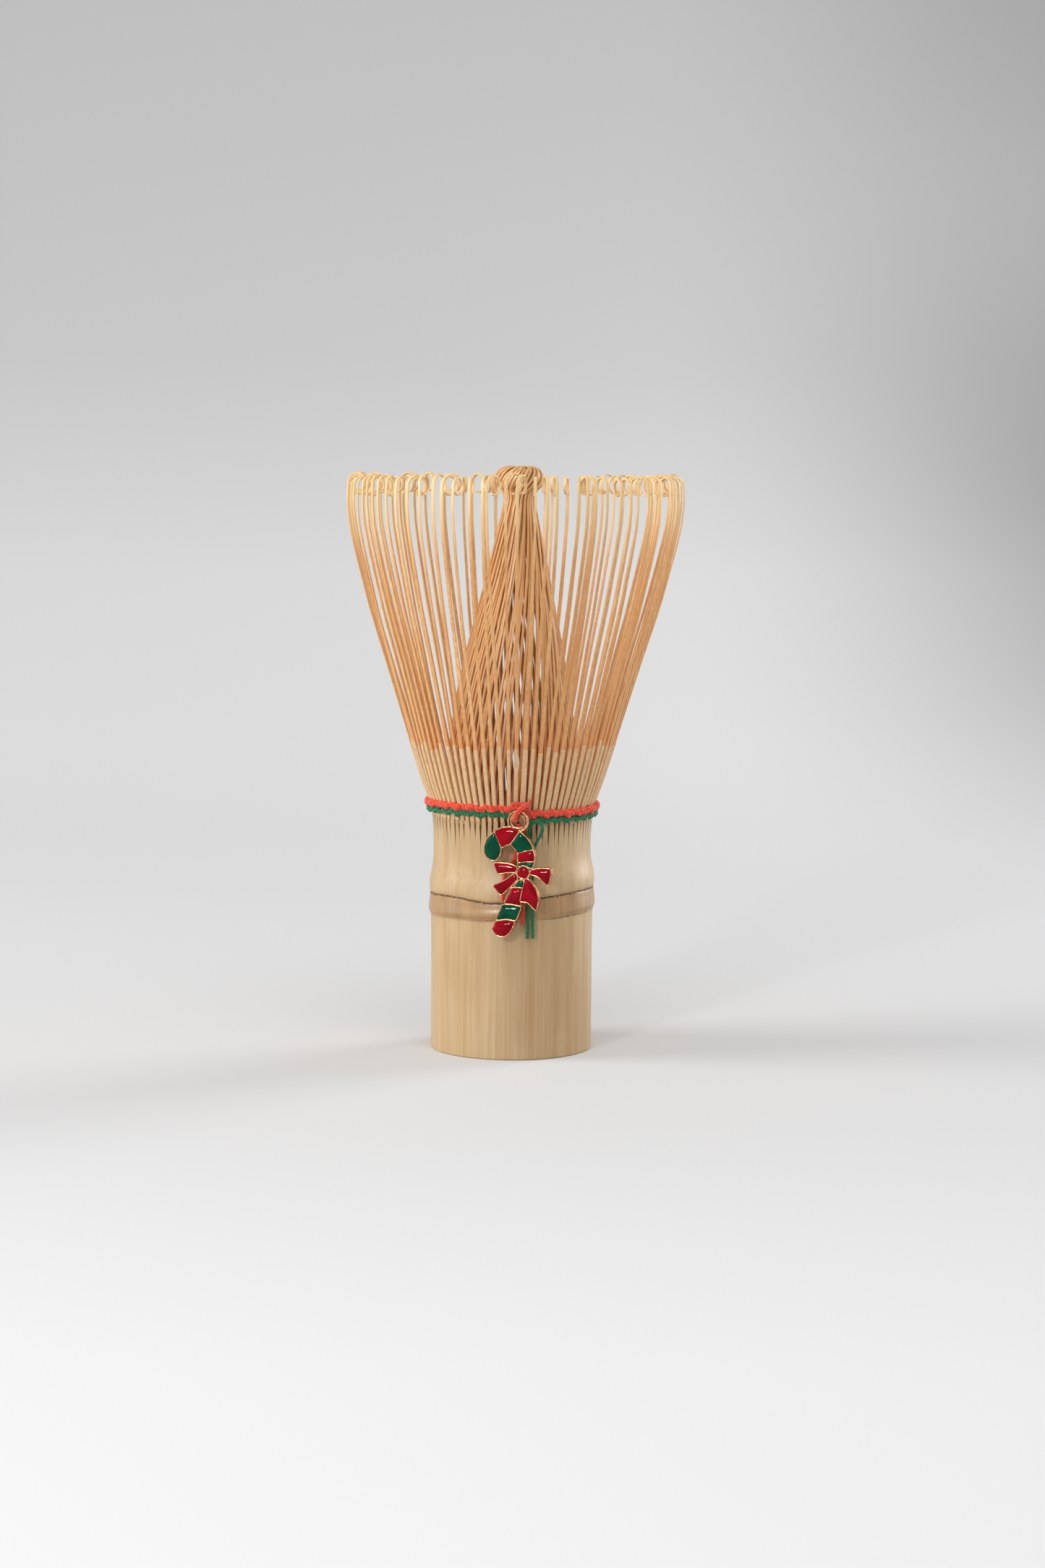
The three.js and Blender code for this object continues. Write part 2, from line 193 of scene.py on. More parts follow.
def finish_object(name, mesh, material, sharp=None):
    mesh.validate()
    mesh.materials.append(material)
    mesh.polygons.foreach_set("use_smooth", [True] * len(mesh.polygons))
    if sharp is not None:
        mesh.set_sharp_from_angle(angle=math.radians(sharp))
    piece = bpy.data.objects.new(name, mesh)
    bpy.context.scene.collection.objects.link(piece)
    return piece


def declare(piece, body, slot, *nodes):
    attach(piece, body)
    if nodes:
        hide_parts(*nodes)


# ------------------------------------------------------------ materials
def colour(red, green, blue):
    """A colour given as screen values from 0 to 255."""
    def linear(v):
        v /= 255
        return v / 12.92 if v <= 0.04045 else ((v + 0.055) / 1.055) ** 2.4
    return (linear(red), linear(green), linear(blue), 1)


class Material:
    """A node material, with short calls for the nodes that the materials below share."""

    def __init__(self, name, **settings):
        self.material = bpy.data.materials.new(name)
        self.material.use_nodes = True
        self.tree = self.material.node_tree
        self.shader = self.tree.nodes["Principled BSDF"]
        for socket, value in settings.items():
            self.shader.inputs[socket.replace("_", " ")].default_value = value
        self.place = self.tree.nodes.new("ShaderNodeTexCoord").outputs["Object"]

    def put(self, socket, value):
        if isinstance(value, bpy.types.NodeSocket):
            self.tree.links.new(value, socket)
        else:
            socket.default_value = value

    def node(self, kind, output=0, inputs=(), **settings):
        made = self.tree.nodes.new("ShaderNode" + kind)
        for key, value in settings.items():
            setattr(made, key, value)
        for key, value in dict(inputs).items():
            self.put(made.inputs[key], value)
        return made.outputs[output]

    def scaled(self, x, y, z):
        return self.node("Mapping", inputs={"Vector": self.place, "Scale": (x, y, z)})

    def noise(self, vector, scale=1.0, detail=3.0, roughness=0.55):
        inputs = {"Vector": vector, "Scale": scale, "Detail": detail, "Roughness": roughness}
        return self.node("TexNoise", inputs=inputs)

    def ramp(self, value, low, high, low_out=0.0, high_out=1.0):
        inputs = {"Value": value, "From Min": low, "From Max": high, "To Min": low_out, "To Max": high_out}
        return self.node("MapRange", inputs=inputs, interpolation_type="SMOOTHSTEP")

    def math(self, operation, a, b=0.0):
        return self.node("Math", inputs={0: a, 1: b}, operation=operation)

    def mix(self, share, a, b):
        return self.node("MixRGB", inputs={"Fac": share, "Color1": a, "Color2": b})

    def shade(self, a, b, share=1.0):
        return self.node("MixRGB", inputs={"Fac": share, "Color1": a, "Color2": b}, blend_type="MULTIPLY")

    def marks(self):
        attribute = self.tree.nodes.new("ShaderNodeAttribute")
        attribute.attribute_name = "mark"
        parts = self.tree.nodes.new("ShaderNodeSeparateColor")
        self.tree.links.new(attribute.outputs["Color"], parts.inputs["Color"])
        return parts.outputs[0], parts.outputs[1], parts.outputs[2]

    def bump(self, height, strength, depth_mm):
        normal = self.node("Bump", inputs={"Height": height, "Strength": strength, "Distance": depth_mm * MM})
        self.put(self.shader.inputs["Normal"], normal)

    def paint(self, colours=None, roughness=None):
        if colours is not None:
            self.put(self.shader.inputs["Base Color"], colours)
        if roughness is not None:
            self.put(self.shader.inputs["Roughness"], roughness)
        return self.material


def handle_bamboo():
    """Marks: red the sheath scar, green the tan band under it, blue slits (half) and cut ends (full)."""
    m = Material("handle_bamboo", IOR=1.5)
    scar, band, cut = m.marks()
    fibres = m.noise(m.scaled(4200, 4200, 60), detail=4)
    streaks = m.noise(m.scaled(700, 700, 16), detail=3)
    clouds = m.noise(m.scaled(90, 90, 45), detail=2)
    specks = m.noise(m.scaled(2600, 2600, 4200), detail=2)
    pits = m.noise(m.scaled(7000, 7000, 7000), detail=1)
    skin = m.mix(m.ramp(fibres, 0.25, 0.75), colour(182, 153, 113), colour(196, 169, 129))
    skin = m.shade(skin, m.mix(m.ramp(streaks, 0.4, 0.75), colour(252, 251, 249), colour(240, 231, 218)))
    skin = m.shade(skin, m.mix(m.ramp(clouds, 0.35, 0.65), colour(255, 255, 255), colour(244, 238, 228)))
    tan = m.mix(m.ramp(streaks, 0.3, 0.7), colour(166, 126, 80), colour(140, 104, 64))
    skin = m.mix(m.math("MULTIPLY", band, 0.78), skin, tan)
    halo = m.ramp(scar, 0.0, 0.5)
    skin = m.mix(m.math("MULTIPLY", halo, 0.4), skin, colour(166, 124, 84))
    broken = m.math("MULTIPLY", m.ramp(scar, 0.25, 0.8), m.ramp(specks, 0.36, 0.54))
    skin = m.mix(m.math("MULTIPLY", broken, 0.95), skin, colour(84, 54, 34))
    # Painted shade: the slits (cut mark 0.5) are painted dark brown for the shade deep in their narrow grooves.
    skin = m.mix(m.ramp(cut, 0.05, 0.4), skin, colour(120, 72, 38))
    cut_face = m.mix(m.ramp(pits, 0.52, 0.62), colour(222, 194, 150), colour(168, 124, 78))
    skin = m.mix(m.ramp(cut, 0.6, 0.9), skin, cut_face)
    roughened = m.math("MULTIPLY", specks, m.math("MULTIPLY", scar, 2.0))
    height = m.math("ADD", m.math("MULTIPLY", fibres, 0.4), roughened)
    m.bump(height, 0.3, 0.05)
    rough = m.math("SUBTRACT", m.ramp(streaks, 0.3, 0.7, 0.42, 0.5), m.math("MULTIPLY", band, 0.06))
    rough = m.math("ADD", rough, m.math("MULTIPLY", cut, 0.3))
    return m.paint(skin, rough)


def tine_bamboo():
    """Marks: red the skin left at the root, green the steamed tip, blue a tint for each tine."""
    m = Material("tine_bamboo", IOR=1.45)
    skin, tip, tint = m.marks()
    fibres = m.noise(m.scaled(4200, 4200, 60), detail=3)
    patches = m.noise(m.scaled(300, 300, 40), detail=2)
    inside = m.mix(m.ramp(fibres, 0.3, 0.7), colour(204, 152, 96), colour(226, 184, 130))
    inside = m.shade(inside, m.mix(m.ramp(patches, 0.35, 0.7), colour(255, 253, 250), colour(240, 220, 198)))
    inside = m.mix(m.math("MULTIPLY", tint, 0.55), inside, colour(205, 146, 84))
    # Painted shade: below 66 mm the inner faces and the inner tines turn deep orange, for the shade and warm
    # bounce light where the tines crowd near the root.
    height = m.node("SeparateXYZ", output=2, inputs={"Vector": m.place})
    inside = m.mix(m.ramp(height, 0.05, 0.066, 0.75, 0.0), inside, colour(206, 122, 62))
    outside = m.mix(m.ramp(fibres, 0.3, 0.7), colour(200, 158, 112), colour(217, 183, 138))
    tipped = m.mix(m.math("MULTIPLY", tip, 0.85), inside, colour(229, 198, 144))
    m.bump(fibres, 0.3, 0.03)
    return m.paint(m.mix(skin, tipped, outside), m.ramp(fibres, 0.2, 0.8, 0.42, 0.56))


def cotton(name, deep, bright):
    m = Material(name, Sheen_Weight=0.35, Sheen_Roughness=0.5, Specular_IOR_Level=0.2)
    hairs = m.noise(m.scaled(9000, 9000, 9000), detail=3)
    tufts = m.noise(m.scaled(1500, 1500, 1500), detail=2)
    cloth = m.mix(m.ramp(hairs, 0.32, 0.68), deep, bright)
    cloth = m.shade(cloth, m.mix(m.ramp(tufts, 0.3, 0.7), colour(236, 226, 226), colour(255, 255, 255)))
    m.bump(hairs, 0.7, 0.06)
    return m.paint(cloth, 0.9)


def charm_metal():
    m = Material("charm_metal", Metallic=1.0)
    # The mottle of dark and bright plating is partly wear and partly painted reflection: the dark and bright
    # patches a polished rim picks up from its surroundings.
    wear_and_painted_reflection = m.noise(m.scaled(1400, 1400, 1400), detail=3)
    plated = m.mix(m.ramp(wear_and_painted_reflection, 0.3, 0.7), colour(158, 106, 72), colour(222, 172, 130))
    m.bump(wear_and_painted_reflection, 0.15, 0.02)
    return m.paint(plated, m.ramp(wear_and_painted_reflection, 0.3, 0.75, 0.16, 0.28))


def enamel(name, deep, bright):
    m = Material(name, Specular_IOR_Level=0.0, Coat_Weight=1.0, Coat_Roughness=0.03, Coat_IOR=1.2)
    depth = m.noise(m.scaled(420, 420, 420), detail=2)
    return m.paint(m.mix(m.ramp(depth, 0.3, 0.7), deep, bright), m.ramp(depth, 0.3, 0.7, 0.14, 0.22))


# ------------------------------------------------------------ thread
# The plies are a little fatter than their share, so that they press into each other.
PLY_PRESS = 1.12
HAIR_RADII = (0.016, 0.008)


def twine(shape, path, thick, ply_turn, sides=7, swell=0.0, fullness=0.29):
    """Two plies laid round each other along a path.

    thick is the whole thread's diameter, and fullness a ply's radius as a share of it.
    """
    ply = fullness * thick
    offset = 0.5 * thick - ply
    path = np.asarray(path, float)
    right, up = carried_frames(path)
    along = np.concatenate([[0], np.cumsum(np.linalg.norm(np.diff(path, axis=0), axis=1))])
    # Two unlike waves make lumps that don't repeat.
    lumps = 1 + swell * np.sin(along * 2.9) * np.sin(along * 1.3 + 1)
    for start in (0, math.pi):
        turn = start + 2 * np.pi * along / ply_turn
        centre = path + offset * (np.cos(turn)[:, None] * right + np.sin(turn)[:, None] * up)
        shape.tube(centre, ply * PLY_PRESS * lumps, sides)


def fuzz(shape, path, spread, count, length, seed):
    """Loose cotton fibres that stand off a thread."""
    local = random.Random(seed)
    path = np.asarray(path, float)
    for _ in range(count):
        start = path[local.randrange(1, len(path) - 1)]
        lean = unit(np.array([local.gauss(0, 1) for _ in range(3)]))
        bend = unit(np.array([local.gauss(0, 1) for _ in range(3)]))
        reach = length * local.uniform(0.4, 1)
        steps = np.linspace(0, 1, 6)[:, None]
        hair = start + lean * spread + steps * lean * reach + steps**2 * bend * reach * 0.6
        shape.tube(hair, np.linspace(*HAIR_RADII, len(steps)), 4)


# The tails' routes, as in part.mjs: up one tail, round behind the charm and down the other.
RED_TAILS = [
    (-1.6, -15.88, 30), (-1.55, -15.9, 32.4), (-1.2, -15.8, 34.8), (-0.3, -15.7, 36.5), (0.6, -15.65, 37.9),
    (0.8, -15.6, 39.3), (0.45, -15.6, 40.6), (0.1, -15.65, 41.6), (-0.05, -15.7, 42.6), (0.32, -15.75, 43.48),
    (1.2, -15.8, 43.85), (2.08, -15.8, 43.48), (2.45, -15.75, 42.6), (2.35, -15.7, 40.5), (2.1, -15.75, 37.5),
    (2.1, -15.9, 34), (2.25, -16.05, 31), (2.2, -16.1, 28), (2, -16.05, 25.4),
]
GREEN_TAILS = [
    (2.95, -15.8, 23), (3, -15.95, 27), (3, -15.95, 31), (2.95, -15.85, 35), (2.95, -15.8, 39),
    (3.05, -15.95, 41.5), (3.25, -16.15, 43.5), (3.6, -16.3, 44.35), (4.45, -16.35, 44.7), (5.3, -16.3, 44.35),
    (5.65, -16.2, 43.5), (5.3, -16.05, 42.2), (4.6, -15.9, 40.9), (4.1, -15.8, 39.4), (3.95, -15.75, 37),
    (3.9, -15.8, 33), (3.95, -15.85, 29), (3.95, -15.85, 26), (4, -15.8, 23),
]
TAIL_THICK = 0.62


def make_tails(name, route, node, slot, material, seed):
    path = resample(route, 0.1)
    shape = Shape()
    twine(shape, path, TAIL_THICK, 1.9, sides=8, swell=0.04, fullness=0.35)
    fuzz(shape, path, TAIL_THICK * 0.4, 46, 0.5, seed)
    piece = shape.to_object(name, material)
    declare(piece, BODY, slot, node)


# ------------------------------------------------------------ handle
NODE_SLANT = math.tan(math.radians(2.2))
SCAR_Z = 29.3
# The scar dips at the front, a little left of the middle.
SCAR_DIP = {"aside": math.radians(8), "width": math.radians(24), "depth": 1.05}
BAND_BOTTOM_Z = 26.1
MEAN_R = 15.3
HOLLOW_R = 11.2
HANDLE_TOP = 44.4
SEPTUM = (25.2, 28.0)
handle_radius = smooth_curve([
    (0, 15.18), (10, 15.2), (20, 15.21), (23.5, 15.24), (25.4, 15.28), (26.1, 15.34), (26.6, 15.52),
    (27.1, 15.68), (27.6, 15.66), (28.2, 15.52), (28.9, 15.44), (SCAR_Z - 0.12, 15.36), (SCAR_Z, 15.14),
    (SCAR_Z + 0.16, 15.36), (30.0, 15.5), (30.8, 15.55), (31.8, 15.48), (33.5, 15.22), (35.5, 14.96),
    (37.5, 14.83), (39.5, 14.83), (41.5, 14.9), (43, 14.99), (HANDLE_TOP, 15.1),
])
SLIT_WIDTH = 0.5
SLIT_DEPTH = 1.4
SLIT_MARK = 0.5
CUT_MARK = 1.0
# How much of a tine's angle the smooth border reaches on each side of a slit.
SLIT_BORDER = 0.31
slit_foot = [rng.uniform(37.2, 41.2) for _ in range(TINES)]
slit_shift = [rng.uniform(-0.1, 0.1) * TINE_ANGLE for _ in range(TINES)]


def node_level(angle, z):
    """A height on the culm, moved so that the slanting, dipping scar lies level at SCAR_Z."""
    wander = 0.06 * math.sin(3 * angle + 1) + 0.05 * math.sin(7 * angle)
    slant = MEAN_R * math.cos(angle) * NODE_SLANT * float(ease(18, 24, z) * (1 - ease(34, 39, z)))
    level = z - slant - wander
    aside = math.remainder(angle - FRONT + SCAR_DIP["aside"], 2 * math.pi)
    raised = SCAR_DIP["depth"] * (1 - math.exp(-((aside / SCAR_DIP["width"]) ** 2)))
    return level - raised * float(ease(27.2, 29.6, level) * (1 - ease(32, 37, level)))


def culm_marks(angle, level, sunk):
    """The marks of one point of the culm: scar, tan band, and slit."""
    rough = 0.12 * math.sin(11 * angle) * math.sin(17 * angle + 2)
    scar = math.exp(-((level - SCAR_Z - rough) / 0.24) ** 2)
    line_above = 0.45 * math.exp(-((level - SCAR_Z - 0.55 - rough) / 0.16) ** 2)
    band_edge = 0.8 * math.exp(-((level - BAND_BOTTOM_Z - 0.05) / 0.2) ** 2)
    smudge = band_edge * max(0, math.sin(2.3 * angle + 3.5))
    above_bottom = ease(BAND_BOTTOM_Z - 0.1, BAND_BOTTOM_Z + 0.4, level)
    band = float(above_bottom * (1 - ease(SCAR_Z - 0.3, SCAR_Z + 0.1, level)))
    return max(min(1.0, scar + line_above), smudge), band, SLIT_MARK if sunk > 0.05 else 0.0


def slit_columns(tine, z, open_share):
    """Turns from a slit's middle and depths, from the tine on its left to the tine on its right."""
    width = max(0.03, SLIT_WIDTH * open_share) / 15
    depth = SLIT_DEPTH * min(1.0, max(0.0, (z - slit_foot[tine]) / 1.2))
    left = [(-SLIT_BORDER * TINE_ANGLE, 0), (-width / 2, 0), (-width / 3.2, depth)]
    right = [(width / 3.2, depth), (width / 2, 0), (SLIT_BORDER * TINE_ANGLE, 0)]
    return left + [(0, depth)] + right


def make_handle(material):
    spans = [(0, 0.25, 2), (0.25, 24, 14), (24, 33, 64), (33, 37, 8), (37, HANDLE_TOP, 34)]
    rows = np.unique(np.concatenate([np.linspace(a, b, n) for a, b, n in spans]))
    feet = np.array(slit_foot)
    verts = []
    marks = []
    for z in rows:
        open_share = ease(0, 1, (z - feet) / (HANDLE_TOP + 0.6 - feet))
        for tine in range(TINES):
            centre = FRONT + tine * TINE_ANGLE + slit_shift[tine]
            for turn, sunk in slit_columns(tine, z, open_share[tine]):
                angle = centre + turn
                level = node_level(angle, z)
                radius = float(handle_radius(np.clip(level, 0, HANDLE_TOP))) + 0.02 * math.sin(5 * angle + 2)
                radius -= 0.2 * float(ease(0.2, 0, z)) + sunk
                verts.append((radius * math.cos(angle), radius * math.sin(angle), z))
                marks.append(culm_marks(angle, level, sunk))
    outer_rows = len(rows)
    per_row = len(verts) // outer_rows
    angles = [math.atan2(v[1], v[0]) for v in verts[:per_row]]
    # (radius, z) from the top edge down to the septum's upper face, and from the base up to its lower face.
    low, high = SEPTUM
    inner = [(13.4, HANDLE_TOP), (HOLLOW_R, HANDLE_TOP - 0.4), (HOLLOW_R, high + 1.2),
             (HOLLOW_R - 0.5, high + 0.3), (HOLLOW_R - 1.6, high), (5, high - 0.3), (0.3, high - 0.4)]
    under = [(14.6, 0), (13, 0), (HOLLOW_R + 0.25, 0), (HOLLOW_R, 0.25), (HOLLOW_R, 12), (HOLLOW_R, low - 1.4),
             (HOLLOW_R - 0.5, low - 0.4), (HOLLOW_R - 1.6, low), (5, low + 0.3), (0.3, low + 0.4)]
    for radius, z in inner + under:
        verts += [(radius * math.cos(angle), radius * math.sin(angle), z) for angle in angles]
        marks += [(0.0, 0.0, CUT_MARK)] * per_row
    faces = []

    def bridge(row, next_row, flip=False):
        a, b = row * per_row, next_row * per_row
        for i in range(per_row):
            j = (i + 1) % per_row
            face = (a + i, a + j, b + j, b + i)
            faces.append(tuple(reversed(face)) if flip else face)

    for row in range(outer_rows - 1 + len(inner)):
        bridge(row, row + 1)
    first_under = outer_rows + len(inner)
    bridge(0, first_under, flip=True)
    for row in range(first_under, first_under + len(under) - 1):
        bridge(row, row + 1, flip=True)
    last_inner = first_under - 1
    last_under = first_under + len(under) - 1
    faces.append(tuple(last_inner * per_row + i for i in range(per_row)))
    faces.append(tuple(reversed([last_under * per_row + i for i in range(per_row)])))
    shape = Shape()
    shape.add(verts, faces, np.array(marks))
    piece = shape.to_object("handle_culm", material, sharp=38)
    declare(piece, BODY, "handle_bamboo", "handle")


# ------------------------------------------------------------ tines
SKIN_STEP_Z = 58.2
# One tine at the front has lost a splinter above this height.
SPLINTERED = {"tine": 1, "z": 85}
outer_face = smooth_curve([
    (43.5, 14.85), (44.4, 15.0), (45.2, 15.2), (46.5, 15.55), (48, 16.12), (50.5, 17.05), (56, 18.8),
    (61.5, 20.45), (66.9, 22.05), (75.1, 24.5), (83.2, 26.98), (88.6, 28.4), (94.1, 29.8), (99.5, 30.95),
    (102.7, 31.2), (105.2, 31.17),
])
outer_width = smooth_curve([
    (43, 0.8), (47, 0.88), (51, 0.84), (57, 0.82), (63, 0.7), (76, 0.64), (92, 0.6), (106, 0.56),
])
outer_thick = smooth_curve([(43, 0.9), (47, 0.95), (57, 0.72), (63, 0.5), (76, 0.42), (92, 0.36), (106, 0.3)])
# An outer tine's hook is this wide and high, in rows from its start to its tip.
HOOK = {"wide": 1.62, "high": 1.86, "rows": 18}
# Each corner of a bar's section: its side across and whether the chamfer cuts it there, then the same outward.
BAR_CORNERS = [
    (-1, 0, -1, 1), (-1, 1, -1, 0), (1, 1, -1, 0), (1, 0, -1, 1),
    (1, 0, 1, 1), (1, 1, 1, 0), (-1, 1, 1, 0), (-1, 0, 1, 1),
]


def bar(shape, path, across, widths, thicks, marks):
    """A closed bar with a chamfered rectangular section. across points along its width."""
    along = unit(np.gradient(path, axis=0))
    across = unit(across - along * np.sum(across * along, axis=1, keepdims=True))
    outward = np.cross(across, along)
    w = np.asarray(widths)[:, None, None] / 2
    t = np.asarray(thicks)[:, None, None] / 2
    c = 0.32 * np.minimum(w, t)
    right = across[:, None, :]
    out = outward[:, None, :]
    middle = path[:, None, :]
    ring = [middle + right * (sx * (w - cx * c)) + out * (sy * (t - cy * c)) for sx, cx, sy, cy in BAR_CORNERS]
    rings = np.concatenate(ring, axis=1)
    shape.rings(rings, marks)


def bar_marks(rows, skin, tip, tint):
    """Marks for a bar: the skin shows on its outer face only."""
    marks = np.zeros((rows, len(BAR_CORNERS), 3))
    marks[:, 3:8, 0] = np.asarray(skin)[:, None]
    marks[:, :, 1] = np.asarray(tip)[:, None]
    marks[:, :, 2] = tint
    return marks


def outer_tine(shape, number):
    angle = FRONT + (number + 0.5) * TINE_ANGLE
    root_turn = rng.gauss(0, 0.04) * TINE_ANGLE
    top_turn = rng.gauss(0, 0.2) * TINE_ANGLE
    lean = rng.gauss(0, 0.28)
    bow = rng.gauss(0, 0.16)
    rise = rng.gauss(0, 0.22)
    size = rng.uniform(0.86, 1.14)
    curl = math.radians(rng.uniform(265, 335))
    yaw = rng.gauss(0, 0.34)
    stout = rng.uniform(0.82, 1.18)
    step = SKIN_STEP_Z + rng.gauss(0, 0.4)
    tint = rng.uniform(0, 1)
    spans = [np.linspace(43.7, 52, 11), np.linspace(54, step - 0.04, 3), np.linspace(step + 0.04, 62, 3),
             np.linspace(66, 102, 12), [103.6, 105]]
    if number == SPLINTERED["tine"]:
        spans.append([SPLINTERED["z"] - 0.15, SPLINTERED["z"] + 0.15])
    zs = np.sort(np.concatenate(spans))
    share = ease(46, 104, zs)
    thick = outer_thick(zs) * stout
    face = outer_face(zs) - 0.1 * (zs > step)
    radius = face - thick / 2 + lean * share + bow * np.sin(np.pi * share)
    width = outer_width(zs) * stout
    if number == SPLINTERED["tine"]:
        width = width * np.where(zs < SPLINTERED["z"], 1.3, 0.8)
    side = np.zeros_like(zs)
    top_r, top_z = radius[-1], zs[-1]
    turns = np.linspace(0, curl, HOOK["rows"])[1:]
    shrink = 1 - 0.22 * turns / curl
    wide, high = HOOK["wide"] * size, HOOK["high"] * size
    hook_r = top_r - wide + wide * shrink * np.cos(turns)
    hook_z = top_z + 1.0 + rise + high * shrink * np.sin(turns)
    hook_side = yaw * (top_r - hook_r)
    radius = np.concatenate([radius, hook_r])
    heights = np.concatenate([zs, hook_z])
    side = np.concatenate([side, hook_side])
    thick = np.concatenate([thick, np.linspace(thick[-1], 0.3, len(turns))])
    width = np.concatenate([width, np.linspace(width[-1], 0.52, len(turns))])
    share = np.concatenate([share, np.ones(len(turns))])
    around = angle + root_turn + (top_turn - root_turn) * share
    cos, sin = np.cos(around), np.sin(around)
    path = np.column_stack([radius * cos - side * sin, radius * sin + side * cos, heights])
    across = np.column_stack([-sin, cos, np.zeros_like(cos)])
    across = across - 0.5 * yaw * np.column_stack([cos, sin, np.zeros_like(cos)]) * (share[:, None] > 0.999)
    skin = (heights < step) & (np.arange(len(heights)) < len(zs))
    tip = ease(90, 107, heights)
    bar(shape, path, across, width, thick, bar_marks(len(path), skin, tip, tint))
    if rng.random() < 0.2:
        torn_fibre(shape, path[rng.randrange(12, 24)], unit(path[20] * (1, 1, 0)))


def torn_fibre(shape, start, outward):
    """A hair-fine fibre that stands off a tine."""
    lean = unit(outward + np.array([rng.gauss(0, 0.8) for _ in range(3)]))
    bend = np.array([rng.gauss(0, 0.7) for _ in range(3)])
    steps = np.linspace(0, 1, 9)[:, None]
    shape.tube(start + 2.2 * steps * lean + 1.4 * steps**2 * bend, np.linspace(0.035, 0.015, 9), 5, (0, 0.8, 0))


# The inner tines gather into a cone that leans a little to the right and winds about its axis.
cone_radius = smooth_curve([
    (42, 12.7), (47, 12.6), (52, 12.2), (58, 11.6), (64, 10.9), (70.7, 9.75), (78, 8.25), (86, 6.5),
    (94, 4.75), (101.5, 3.1), (103.8, 2.65),
])
CONE_SLOPE = 0.085
CONE_LEAN = 1.0
CROWN = {"r": 2.2, "z": 107.2, "size": 2.3, "rows": 18}
wind_heights = np.linspace(42, 103.8, 120)
wind_steps = CONE_SLOPE * np.diff(wind_heights) / cone_radius(wind_heights[1:])
wind_turns = np.concatenate([[0], np.cumsum(wind_steps)])


def inner_tine(shape, number):
    angle = FRONT + (number + 0.5) * TINE_ANGLE + rng.gauss(0, 0.12) * TINE_ANGLE
    layer = number % 3
    stray = rng.gauss(0, 0.16)
    swing = rng.gauss(0, 0.25) * TINE_ANGLE
    curl_start = math.radians(-62)
    curl_end = math.radians(rng.uniform(148, 180))
    swirl = math.radians(rng.uniform(55, 85))
    size = CROWN["size"] * rng.uniform(0.93, 1.05) - 0.38 * layer
    tint = rng.uniform(0.6, 1.4)
    zs = np.concatenate([np.linspace(42.4, 78, 12), np.linspace(80.5, 103.4, 14)])
    share = ease(48, 100, zs)
    depth = 0.42 * layer * ease(76, 96, zs)
    radius = cone_radius(zs) - depth + stray * np.sin(np.pi * ease(46, 103, zs))
    turn = np.interp(zs, wind_heights, wind_turns) + swing * share
    phase = np.linspace(curl_start, curl_end, CROWN["rows"])
    crown_r = CROWN["r"] + size * np.cos(phase)
    crown_z = CROWN["z"] + size * np.sin(phase)
    crown_turn = turn[-1] + swirl * np.linspace(0, 1, len(phase) + 1)[1:]
    radius = np.concatenate([radius, crown_r])
    heights = np.concatenate([zs, crown_z])
    around = angle + np.concatenate([turn, crown_turn])
    lean = CONE_LEAN * ease(60, 104, heights)
    path = np.column_stack([radius * np.cos(around) + lean, radius * np.sin(around), heights])
    along = unit(np.gradient(path, axis=0))
    outward_straight = np.column_stack([np.cos(around), np.sin(around), 0.2 * np.ones_like(around)])
    beyond = radius - CROWN["r"]
    crown_out = np.column_stack([np.cos(around) * beyond, np.sin(around) * beyond, heights - CROWN["z"]])
    in_crown = ease(101, 104.5, heights)[:, None]
    outward = unit(outward_straight) * (1 - in_crown) + unit(crown_out) * in_crown
    across = np.cross(along, outward)
    stem_width = np.interp(zs, [42, 50, 75, 103], [0.56, 0.52, 0.46, 0.44])
    stem_thick = np.interp(zs, [42, 50, 70, 103], [1.0, 0.8, 0.45, 0.34])
    width = np.concatenate([stem_width, np.linspace(0.44, 0.4, len(phase))])
    thick = np.concatenate([stem_thick, np.linspace(0.32, 0.24, len(phase))])
    tip = 0.3 * ease(100, 107, heights)
    bar(shape, path, across, width, thick, bar_marks(len(path), np.zeros(len(path)), tip, tint))


def make_tines(material):
    for section in range(SECTIONS):
        number = f"{section + 1:02d}"
        for kind, make in (("outer", outer_tine), ("inner", inner_tine)):
            shape = Shape()
            for i in range(TINES_PER_SECTION):
                make(shape, section * TINES_PER_SECTION + i)
            piece = shape.to_object(f"{kind}_tine_comb_{number}", material, sharp=40)
            declare(piece, BODY, "tine_bamboo", f"{kind}_tines_{number}")


# ------------------------------------------------------------ thread bands
RED_BAND = {"radius": 15.95, "start": 45.85, "rise": 1.2, "thick": 1.28, "ply_turn": 2.0}
GREEN_BAND = {"radius": 15.76, "start": 44.62, "rise": 1.15, "thick": 0.94, "ply_turn": 1.5}
# Turns from the front, to the right: where a band starts, where it ends, and where it is drawn in, so that
# the charm's hook clears it when the charm swings.
BAND_FROM = math.radians(12.5)
BAND_TO = math.radians(358.5)
DRAWN_IN = {"from": math.radians(318), "to": math.radians(336), "by": 0.26}


def band_path(band):
    turns = np.linspace(BAND_FROM, BAND_TO, 1300)
    share = (turns - BAND_FROM) / (BAND_TO - BAND_FROM)
    wave = np.abs(np.sin((turns - 0.4) * TINES / 4))
    angle = FRONT + turns
    radius = band["radius"] - 0.12 * wave - DRAWN_IN["by"] * ease(DRAWN_IN["from"], DRAWN_IN["to"], turns)
    height = band["start"] + band["rise"] * ease(0, 1, share) + 0.42 * (wave - 0.5)
    height = height + 0.07 * np.sin(5 * turns) + 0.07 * np.sin(23 * turns + 1)
    return np.column_stack([radius * np.cos(angle), radius * np.sin(angle), height])


def knot_path(centre, size):
    """A trefoil knot."""
    t = np.linspace(0, 2 * np.pi, 90, endpoint=False)
    x = np.sin(t) + 2 * np.sin(2 * t)
    z = np.cos(t) - 2 * np.cos(2 * t)
    y = -np.sin(3 * t)
    cx, cy, cz = centre
    sx, sy, sz = size
    return np.column_stack([cx + sx * x / 3, cy + sy * y, cz + sz * z / 3])


